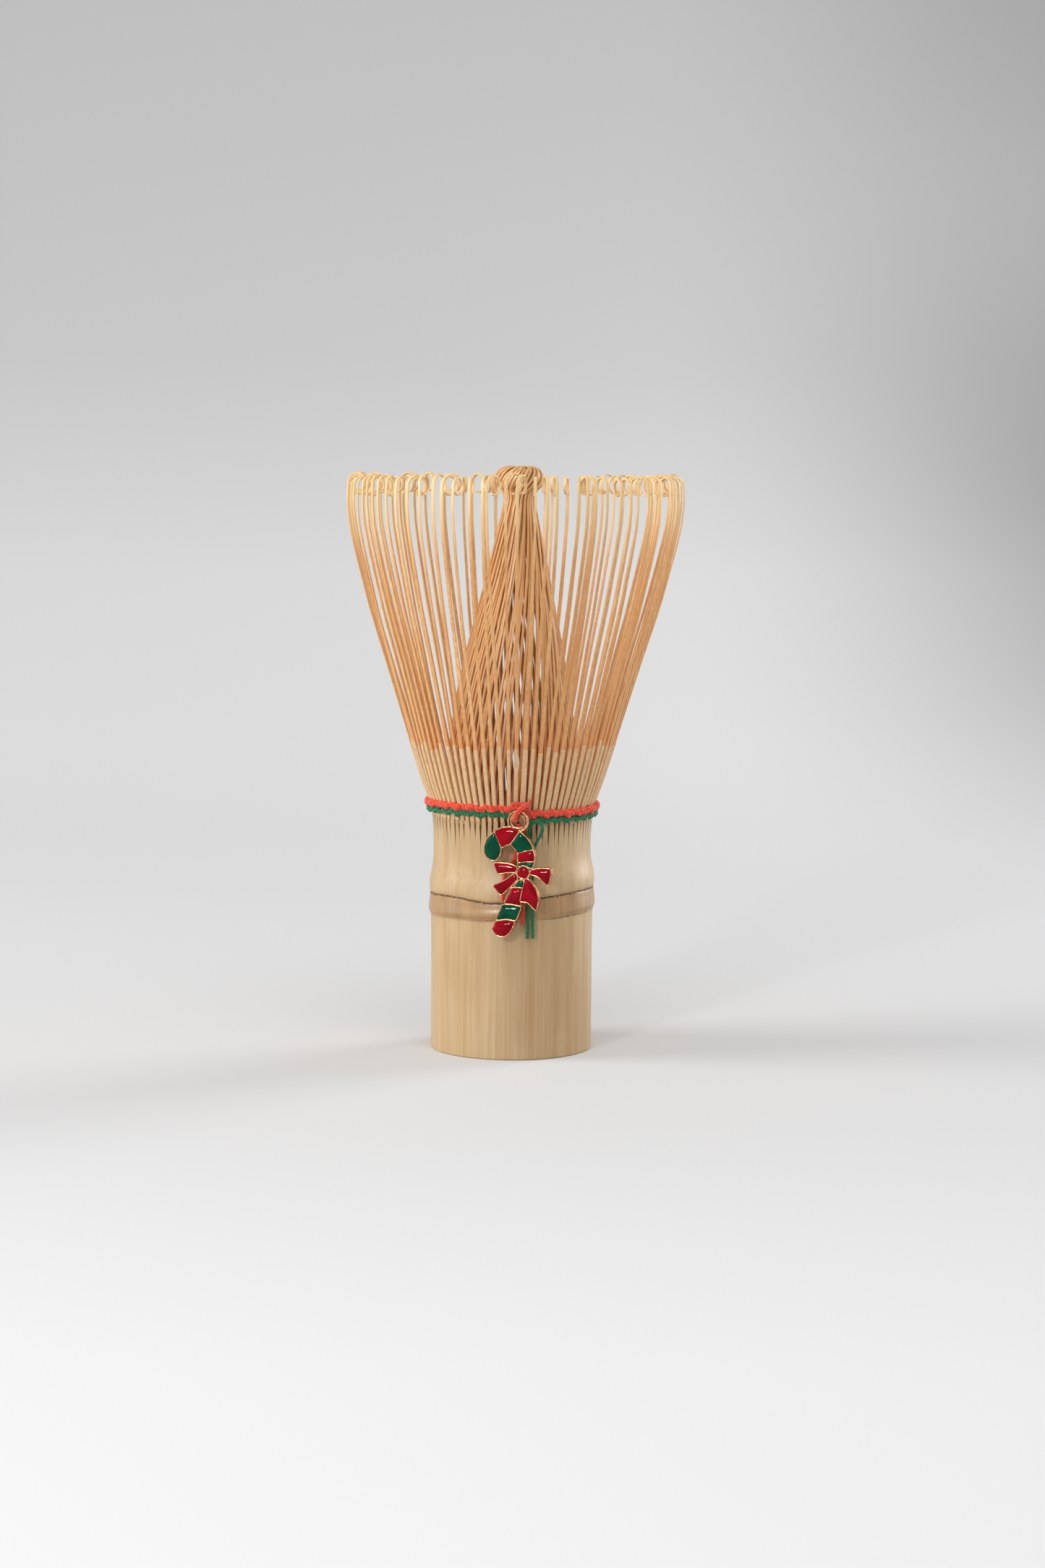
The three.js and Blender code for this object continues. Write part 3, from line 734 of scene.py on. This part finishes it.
def make_bands(red, green):
    shape = Shape()
    path = band_path(RED_BAND)
    twine(shape, path, RED_BAND["thick"], RED_BAND["ply_turn"], sides=8, swell=0.26)
    fuzz(shape, path, RED_BAND["thick"] * 0.42, 420, 0.55, 11)
    joining = [(-1.1, -15.75, 46.9), (0.2, -16.0, 47.15), (1.5, -16.15, 47.5), (2.6, -16.2, 46.9),
               (3.6, -16.0, 45.95)]
    twine(shape, resample(joining, 0.1), 1.0, 1.5, sides=8)
    clump = knot_path((1.6, -16.35, 47.6), (1.75, 0.2, 0.6))
    twine(shape, clump, 0.62, 1.1, sides=7)
    fuzz(shape, clump, 0.3, 40, 0.6, 12)
    tuft = resample([(2.2, -16.45, 47.6), (3.0, -16.6, 48.1), (3.45, -16.65, 48.7)], 0.08)
    twine(shape, tuft, 0.5, 0.9)
    piece = shape.to_object("red_band_twine", red)
    declare(piece, BODY, "red_cotton", "red_thread_band")

    shape = Shape()
    path = band_path(GREEN_BAND)
    twine(shape, path, GREEN_BAND["thick"], GREEN_BAND["ply_turn"], sides=8, swell=0.2)
    fuzz(shape, path, GREEN_BAND["thick"] * 0.42, 320, 0.45, 13)
    piece = shape.to_object("green_band_twine", green)
    declare(piece, BODY, "green_cotton", "green_thread_band")


# ------------------------------------------------------------ charm
EYELET = np.array([1.46, -17.15, 45.0])
CHARM_YAW = math.radians(-13)
CHARM_THICK = 1.6
RIM = 0.32
CELL_GROWTH = 0.11
CELL_DEPTH = 0.42
ENAMEL_GRID = 0.17
EYELET_R = 2.0
EYELET_HOLE_R = 1.16
EYELET_GROOVE = (1.4, 1.72)
GROOVE_SIDES = 72
CASTING_VOXEL = 0.045
# The hanging loop's upper end, and where its thread lies in the eyelet's hole.
LOOP_TOP = (2.9, -17.65, 47.9)
HANG_ACROSS = -0.5
HANG_UP = 0.3
ACROSS = np.array([math.cos(CHARM_YAW), math.sin(CHARM_YAW), 0])
OUT = np.array([math.sin(CHARM_YAW), -math.cos(CHARM_YAW), 0])
UP = np.array([0, 0, 1])

# Cell outlines in the charm's plane: across to the right and up, from the eyelet's centre.
CELLS = {
    "hook_end": ("green", [
        (-4.5, -2.4), (-5.5, -3.3), (-6.15, -4.6), (-6.1, -5.9), (-5.5, -6.9), (-4.6, -7.25),
        (-3.7, -6.8), (-3.25, -5.4), (-3.75, -4),
    ]),
    "hook_top": ("red", [
        (-4.2, -2.1), (-3.4, -1.6), (-2.4, -1.32), (-1.2, -1.32), (-0.2, -1.65), (0.05, -1.85),
        (-0.7, -2.9), (-1.5, -4.1), (-2.3, -4.25), (-2.95, -4.75), (-3.4, -4),
    ]),
    "hook_shoulder": ("green", [
        (0.4, -2.15), (1.5, -3.05), (2.3, -4.1), (2.65, -5), (1.3, -5.25), (0.1, -5.7), (-0.4, -4.9),
        (-1.15, -4.25), (-0.35, -3.2),
    ]),
    "hook_side": ("red", [
        (0.15, -6.1), (1.5, -5.6), (2.75, -5.4), (2.97, -6.3), (2.97, -7.2), (1.5, -7.2), (0.2, -7.4),
    ]),
    "collar": ("green", [
        (0.15, -7.8), (1.5, -7.6), (2.92, -7.6), (2.6, -8.45), (2.1, -8.25), (1.5, -7.98), (0.8, -7.9),
        (0.35, -8.2),
    ]),
    "bow_loop_left": ("red", [
        (-4.3, -8), (-2.6, -7.95), (-1.2, -8.15), (-0.3, -8.5), (-0.45, -9.25), (-2, -9.3),
        (-3.65, -9.6),
    ]),
    "bow_loop_right": ("red", [
        (2.5, -9.2), (3.4, -8.85), (4.6, -8.65), (6, -8.75), (6.05, -9.9), (5.65, -11.45), (5.1, -11),
        (4.4, -10.3), (3.5, -9.7), (2.5, -9.6),
    ]),
    "bow_tail_left": ("red", [
        (-0.45, -9.75), (-2.2, -11.1), (-4.4, -12.1), (-3.1, -13.5), (-1.6, -12.2), (-0.15, -10.6),
    ]),
    "bow_tail_right": ("red", [
        (1.45, -10.85), (1.85, -10.7), (2.9, -11.8), (3.6, -13.2), (3.75, -14.6), (3.45, -16.1),
        (2.8, -15.5), (1.9, -14.6), (0.65, -14.65), (1.1, -12.7),
    ]),
    "shaft_upper": ("green", [
        (0.4, -10.95), (1, -11.05), (0.9, -12.05), (-0.45, -12),
    ]),
    "shaft_middle": ("red", [
        (-1, -12.45), (0.7, -12.45), (0.2, -14.6), (0.55, -15.45), (-0.9, -15.1), (-2.3, -15.15),
    ]),
    "shaft_lower": ("green", [
        (-2.75, -15.65), (-0.9, -15.6), (0.5, -15.95), (-0.4, -18.15), (-2, -17.95), (-3.8, -18.2),
    ]),
    "shaft_tip": ("red", [
        (-4, -18.75), (-2.2, -18.45), (-0.65, -18.65), (-1.3, -20.1), (-2, -21), (-3, -21.3),
        (-4, -20.9), (-4.55, -20),
    ]),
}
KNOT = {"across": 1.05, "up": -9.4, "radius": 0.95}
# Corners turned more sharply than this stay crisp when an outline is rounded.
CRISP_TURN = math.radians(52)


def charm_space(points):
    """Charm coordinates (across, up, out) to millimetres in the frame."""
    points = np.asarray(points, float)
    return EYELET + points[:, :1] * ACROSS + points[:, 1:2] * UP + points[:, 2:3] * OUT


def rounded(outline):
    """Rounds an outline: long curves become smooth, and sharp corners keep a small radius."""
    points = np.array(outline, float)
    made = []
    for i, corner in enumerate(points):
        before, after = points[i - 1], points[(i + 1) % len(points)]
        into, away = corner - before, after - corner
        turn = abs(math.atan2(into[0] * away[1] - into[1] * away[0], np.dot(into, away)))
        reach = 0.5 if turn < CRISP_TURN else min(0.5, 0.16 / min(np.linalg.norm(into), np.linalg.norm(away)))
        start, end = corner - into * reach, corner + away * reach
        for t in np.linspace(0, 1, 7, endpoint=turn >= CRISP_TURN):
            made.append((1 - t) ** 2 * start + 2 * t * (1 - t) * corner + t * t * end)
    kept = [made[0]]
    for point in made[1:]:
        if np.linalg.norm(point - kept[-1]) > 0.03:
            kept.append(point)
    if np.linalg.norm(kept[-1] - kept[0]) < 0.03:
        kept.pop()
    kept = np.array(kept)
    area = np.sum(kept[:, 0] * np.roll(kept[:, 1], -1) - kept[:, 1] * np.roll(kept[:, 0], -1))
    return kept if area > 0 else kept[::-1]


def circle(across, up, radius, sides=48):
    turns = 2 * np.pi * np.arange(sides) / sides
    return np.column_stack([across + radius * np.cos(turns), up + radius * np.sin(turns)])


def grown(outline, distance):
    into = outline - np.roll(outline, 1, axis=0)
    away = np.roll(outline, -1, axis=0) - outline
    normal_in = unit(np.column_stack([into[:, 1], -into[:, 0]]))
    normal_away = unit(np.column_stack([away[:, 1], -away[:, 0]]))
    normal = unit(normal_in + normal_away)
    reach = np.minimum(1.6, 1 / np.maximum(np.sum(normal * normal_in, axis=1), 0.3))
    return outline + normal * (distance * reach)[:, None]


def edge_distance(points, outline):
    """The distance from each point to an outline."""
    a = outline[None, :, :]
    b = np.roll(outline, -1, axis=0)[None, :, :]
    p = points[:, None, :]
    t = np.clip(np.sum((p - a) * (b - a), axis=2) / np.maximum(np.sum((b - a) ** 2, axis=2), 1e-12), 0, 1)
    return np.min(np.linalg.norm(p - (a + t[..., None] * (b - a)), axis=2), axis=1)


def slab(shape, outline, low, high):
    """A plain slab between two levels, from an outline that runs anticlockwise."""
    n = len(outline)
    verts = np.vstack([np.column_stack([outline, np.full(n, level)]) for level in (low, high)])
    faces = [(i, (i + 1) % n, n + (i + 1) % n, n + i) for i in range(n)]
    shape.add(charm_space(verts), faces + [tuple(reversed(range(n))), tuple(range(n, 2 * n))])


def ring_slab(shape, inner, outer, low, high):
    """A ring of square section round the eyelet's centre."""
    rings = []
    for turn in np.linspace(0, 2 * np.pi, GROOVE_SIDES + 1)[:-1]:
        c, s = math.cos(turn), math.sin(turn)
        corners = [(inner, low), (outer, low), (outer, high), (inner, high)]
        rings.append(charm_space([(r * c, r * s, level) for r, level in corners]))
    sides = len(corners)
    faces = []
    for a in range(GROOVE_SIDES):
        here, there = a * sides, (a + 1) % GROOVE_SIDES * sides
        for i in range(sides):
            j = (i + 1) % sides
            faces.append((there + i, there + j, here + j, here + i))
    shape.add(np.array(rings).reshape(-1, 3), faces)


def solid_object(name, add):
    shape = Shape()
    add(shape)
    return shape.to_object(name, bpy.data.materials["charm_metal"])


def boolean(target, other, operation):
    modifier = target.modifiers.new(operation.lower(), "BOOLEAN")
    modifier.operation = operation
    modifier.solver = "MANIFOLD"
    modifier.object = other
    apply_modifiers(target)
    bpy.data.objects.remove(other)


def apply_modifiers(piece):
    graph = bpy.context.evaluated_depsgraph_get()
    graph.update()
    mesh = bpy.data.meshes.new_from_object(piece.evaluated_get(graph))
    piece.modifiers.clear()
    piece.data = mesh


def make_casting(outlines, material):
    """One casting: the rims of all cells joined, cells sunk, and every edge softened as in cast metal."""
    floor = CHARM_THICK - CELL_DEPTH
    above = CHARM_THICK + 1
    body = None
    for outline in outlines.values():
        grown_slab = solid_object("rim_block", lambda s, o=outline: slab(s, grown(o, RIM), 0, CHARM_THICK))
        if body is None:
            body = grown_slab
        else:
            boolean(body, grown_slab, "UNION")
    ring = solid_object("ring_block", lambda s: slab(s, circle(0, 0, EYELET_R, 72), 0.1, CHARM_THICK - 0.1))
    boolean(body, ring, "UNION")
    for outline in outlines.values():
        cut = solid_object("cell_block", lambda s, o=outline: slab(s, grown(o, CELL_GROWTH), floor, above))
        boolean(body, cut, "DIFFERENCE")
    hole = solid_object("hole_block", lambda s: slab(s, circle(0, 0, EYELET_HOLE_R, 60), -1, above))
    boolean(body, hole, "DIFFERENCE")
    for low, high in ((CHARM_THICK - 0.55, above), (-1, 0.5)):
        groove = solid_object("groove_block", lambda s, a=low, b=high: ring_slab(s, *EYELET_GROOVE, a, b))
        boolean(body, groove, "DIFFERENCE")
    remesh = body.modifiers.new("remesh", "REMESH")
    remesh.mode = "VOXEL"
    remesh.voxel_size = CASTING_VOXEL * MM
    remesh.use_smooth_shade = True
    smooth = body.modifiers.new("smooth", "SMOOTH")
    smooth.factor = 0.5
    smooth.iterations = 7
    thin = body.modifiers.new("thin", "DECIMATE")
    thin.decimate_type = "COLLAPSE"
    thin.ratio = 0.3
    apply_modifiers(body)
    body.name = "charm_cast_body"
    body.data.materials.clear()
    body.data.materials.append(material)
    body.data.polygons.foreach_set("use_smooth", [True] * len(body.data.polygons))
    return body


def make_enamel(name, outline, material):
    """A closed enamel fill whose top rises from its rim into a shallow dome."""
    low, high = outline.min(axis=0) - CELL_GROWTH, outline.max(axis=0) + CELL_GROWTH
    columns, rows = (np.arange(low[k], high[k], ENAMEL_GRID) for k in (0, 1))
    loose = np.array([(x, y) for x in columns for y in rows])
    outline = grown(outline, CELL_GROWTH + 0.02)
    n = len(outline)
    points = [Vector(p) for p in outline]
    edges = [(i, (i + 1) % n) for i in range(n)]
    loose = loose[edge_distance(loose, outline) > 0.08]
    points += [Vector(p) for p in loose]
    flat, _, triangles, _, _, _ = delaunay_2d_cdt(points, edges, [], 1, 1e-6)
    flat = np.array([(p.x, p.y) for p in flat])
    near = edge_distance(flat, outline)
    reach = min(1.1, max(0.25, near.max()))
    share = np.clip(near / reach, 0, 1)
    dome = CHARM_THICK - 0.14 + (0.08 + 0.24 * reach) * (1 - (1 - share) ** 2)
    count = len(flat)
    bottom = CHARM_THICK - CELL_DEPTH
    verts = np.vstack([np.column_stack([flat, dome]), np.column_stack([flat, np.full(count, bottom)])])
    faces = []
    border = {}
    for triangle in triangles:
        a, b, c = (flat[i] for i in triangle)
        if (b[0] - a[0]) * (c[1] - a[1]) - (b[1] - a[1]) * (c[0] - a[0]) < 0:
            triangle = list(reversed(triangle))
        faces.append(tuple(triangle))
        faces.append(tuple(count + i for i in reversed(triangle)))
        for i in range(3):
            edge = (triangle[i], triangle[(i + 1) % 3])
            if (edge[1], edge[0]) in border:
                del border[(edge[1], edge[0])]
            else:
                border[edge] = True
    faces += [(b, a, count + a, count + b) for a, b in border]
    shape = Shape()
    shape.add(charm_space(verts), faces)
    return shape.to_object(f"{name}_enamel_dome", material, sharp=50)


def make_charm(metal, paints):
    outlines = {name: rounded(outline) for name, (_, outline) in CELLS.items()}
    outlines["bow_knot"] = circle(KNOT["across"], KNOT["up"], KNOT["radius"])
    casting = make_casting(outlines, metal)
    declare(casting, "charm", "charm_metal", "charm_casting")
    for name, outline in outlines.items():
        tone = CELLS[name][0] if name in CELLS else "red"
        piece = make_enamel(name, outline, paints[tone])
        declare(piece, "charm", f"{tone}_enamel", f"enamel_{name}")


def make_hang_loop(material):
    """The loop comes off the band under the clump, over the eyelet's front and back through its hole."""
    over = [(1.45, 3, 1.3), (0.8, 2.6, 2.3), (0.15, 1.8, 2.6), (-0.3, 1, 2.65),
            (HANG_ACROSS, HANG_UP + 0.12, 2.35)]
    through = [(HANG_ACROSS, HANG_UP, out) for out in (1.7, 1.1, 0.4, -0.4)]
    near = charm_space(over + through)
    path = resample([LOOP_TOP] + [tuple(p) for p in near], 0.06)
    shape = Shape()
    twine(shape, path, 0.84, 1.3, sides=9, swell=0.04)
    # No loose fibres near the eyelet's hole, where the casting turns past the thread.
    fuzz(shape, path[:-50], 0.4, 20, 0.45, 17)
    piece = shape.to_object("red_hang_loop_twine", material)
    declare(piece, "hang_loop", "red_cotton", "red_hang_loop")


# ------------------------------------------------------------ stage
# The sweep's greys are painted light and shade, bright on the front of the floor and greyer up the wall: place
# from its front edge (0) to its top (1), and screen value.
SWEEP_PAINTED_GREYS = [
    (0.0, 216), (0.195, 215), (0.209, 211), (0.222, 206), (0.24, 206), (0.283, 206),
    (0.335, 212), (0.375, 212), (0.413, 199), (0.467, 195), (1.0, 190),
]
# Painted shade: the wall darkens by this much towards the right.
SWEEP_PAINTED_SHADE = (175, 174, 175)
# In metres: the floor's ends, the bend's radius, the wall's top, and half of the width.
SWEEP = {"front": -1.2, "back": 0.35, "bend": 0.9, "top": 3, "half_width": 2.2}


def make_sweep():
    """A pale floor that curves up into a wall. Its mark runs from the front edge to the top."""
    # Painted light and shade: the greys fall off along the sweep from its front edge to its top.
    m = Material("pale_sweep", Roughness=0.9, Specular_IOR_Level=0.1)
    along, _, _ = m.marks()
    ramp = m.tree.nodes.new("ShaderNodeValToRGB")
    ramp.color_ramp.interpolation = "LINEAR"
    stops = ramp.color_ramp.elements
    for i, (place, grey) in enumerate(SWEEP_PAINTED_GREYS):
        stop = stops[i] if i < 2 else stops.new(place)
        stop.position = place
        stop.color = colour(grey, grey, grey)
    m.put(ramp.inputs["Fac"], along)
    across = m.node("SeparateXYZ", output=0, inputs={"Vector": m.place})
    # Painted shade on the right of the wall, strongest low on the wall and weaker at its top.
    height = m.math("MULTIPLY", m.ramp(along, 0.25, 0.36), m.ramp(along, 0.385, 0.45, 1.0, 0.42))
    painted_shade_share = m.math("MULTIPLY", m.ramp(across, 0.05, 0.3), height)
    grey = ramp.outputs["Color"]
    stage_paint = m.paint(m.mix(painted_shade_share, grey, m.shade(grey, colour(*SWEEP_PAINTED_SHADE))))
    back, bend = SWEEP["back"], SWEEP["bend"]
    profile = [(y, 0.0) for y in np.linspace(SWEEP["front"], back, 60)]
    for turn in np.linspace(0, math.pi / 2, 48)[1:]:
        profile.append((back + bend * math.sin(turn), bend - bend * math.cos(turn)))
    profile.append((back + bend, SWEEP["top"]))
    lengths = np.concatenate([[0], np.cumsum(np.linalg.norm(np.diff(profile, axis=0), axis=1))])
    xs = np.linspace(-SWEEP["half_width"], SWEEP["half_width"], 3)
    verts = [(x / MM, y / MM, z / MM) for y, z in profile for x in xs]
    faces = []
    for row in range(len(profile) - 1):
        for column in range(len(xs) - 1):
            a = row * len(xs) + column
            faces.append((a, a + 1, a + len(xs) + 1, a + len(xs)))
    shape = Shape()
    shape.add(verts, faces, [(length / lengths[-1], 0, 0) for length in lengths for _ in xs])
    shape.to_object("pale_sweep", stage_paint)


def area_light(name, place, target, width, height, power, tone=(1, 1, 1), gloss_only=False):
    data = bpy.data.lights.new(name, "AREA")
    data.shape = "RECTANGLE"
    data.size, data.size_y = width, height
    data.energy = power
    data.color = tone
    light = bpy.data.objects.new(name, data)
    bpy.context.scene.collection.objects.link(light)
    light.location = place
    aim = Vector(target) - Vector(place)
    light.rotation_euler = aim.to_track_quat("-Z", "Y").to_euler()
    light.visible_diffuse = not gloss_only


def make_lights():
    world = bpy.data.worlds.new("studio")
    bpy.context.scene.world = world
    world.use_nodes = True
    world.node_tree.nodes["Background"].inputs["Color"].default_value = (0.985, 0.99, 1.0, 1)
    world.node_tree.nodes["Background"].inputs["Strength"].default_value = 0.6
    area_light("key_left", (-0.92, -0.1, 0.4), (0, 0, 0.06), 0.45, 0.7, 6.9, (1, 0.99, 0.975))
    area_light("fill_right", (0.8, 0.54, 0.3), (0, 0, 0.04), 0.45, 0.5, 6.6)
    area_light("top_front", (0.1, -0.9, 1.5), (0, -0.3, 0), 1.2, 0.8, 8.0)
    area_light("spark", (-0.27, -0.55, 0.26), (0, 0, 0.03), 0.045, 0.03, 0.8)
    area_light("glint", (-0.2, -0.55, 0.3), (0, 0, 0.03), 0.07, 0.06, 4.0, gloss_only=True)


# ------------------------------------------------------------ assembly
make_camera()
bpy.context.scene.view_settings.view_transform = "Standard"
red_cotton = cotton("red_cotton", colour(196, 44, 22), colour(244, 88, 52))
green_cotton = cotton("green_cotton", colour(8, 78, 44), colour(24, 132, 78))
make_tails("red_tail_twine", RED_TAILS, "red_thread_tails", "red_cotton", red_cotton,
           21)
make_tails("green_tail_twine", GREEN_TAILS, "green_thread_tails", "green_cotton", green_cotton,
           22)
metal = charm_metal()
paints = {
    "red": enamel("red_enamel", colour(122, 0, 14), colour(152, 0, 22)),
    "green": enamel("green_enamel", colour(0, 58, 38), colour(0, 78, 52)),
}
make_handle(handle_bamboo())
make_tines(tine_bamboo())
make_bands(red_cotton, green_cotton)
make_hang_loop(red_cotton)
make_charm(metal, paints)
make_sweep()
make_lights()
